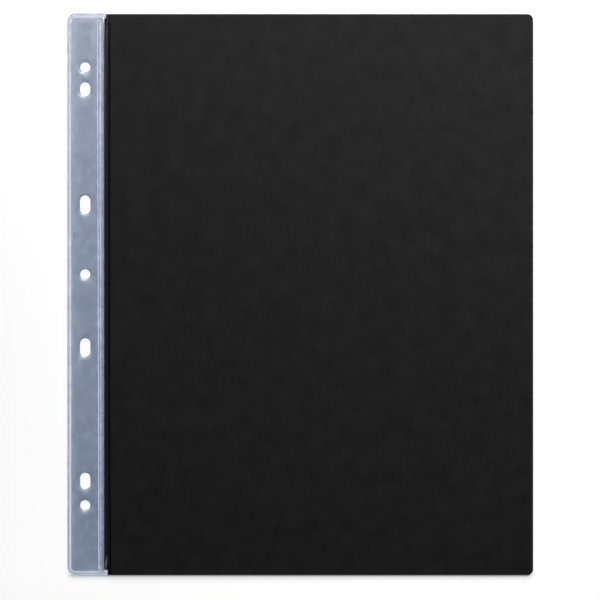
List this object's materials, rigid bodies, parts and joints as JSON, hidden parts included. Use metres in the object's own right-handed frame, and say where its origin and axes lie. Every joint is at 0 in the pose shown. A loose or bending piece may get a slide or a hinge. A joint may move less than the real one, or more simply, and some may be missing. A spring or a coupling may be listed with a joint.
{
  "type": "album refill page",
  "caption": "Flat black card leaf gripped by a clear welded binding strip with round and slotted binder holes; the leaf turns on a film web and folds along a scored line.",
  "frame": {"origin": "centre of the page's outline, on the surface that it lies on", "axes": "+X from the binding strip across the leaf, +Y up the page, +Z out of its front face"},
  "size_m": [0.243, 0.2926, 0.0013],
  "materials": {
    "clear_film": "clear blue-grey film, glossy",
    "fused_film": "two films fused into one, glossy",
    "bonding_line": "thin line of dark set adhesive",
    "black_card": "matt black board, dyed through"
  },
  "bodies": {
    "binding_strip": {"strip_front_film": "clear_film", "strip_rear_film": "clear_film", "outer_edge_weld": "fused_film", "top_edge_weld": "fused_film", "bottom_edge_weld": "fused_film", "weld_bar": "fused_film", "hinge_web": "clear_film"},
    "leaf_margin": {"front_flange": "clear_film", "rear_flange": "clear_film", "front_bond": "bonding_line", "rear_bond": "bonding_line", "card_margin": "black_card", "top_tab_weld": "fused_film", "bottom_tab_weld": "fused_film", "score_web": "black_card"},
    "leaf": {"leaf_card": "black_card"}
  },
  "joints": [
    {"name": "film_hinge", "type": "hinge", "parent": "binding_strip", "child": "leaf_margin", "pos_m": [-0.1029, 0, 0.00065], "axis": [0, -1, 0], "range_deg": [0, 90], "deforming": ["hinge_web"]},
    {"name": "score_fold", "type": "hinge", "parent": "leaf_margin", "child": "leaf", "pos_m": [-0.0995, 0, 0.00065], "axis": [0, -1, 0], "range_deg": [0, 90], "deforming": ["score_web"]}
  ]
}
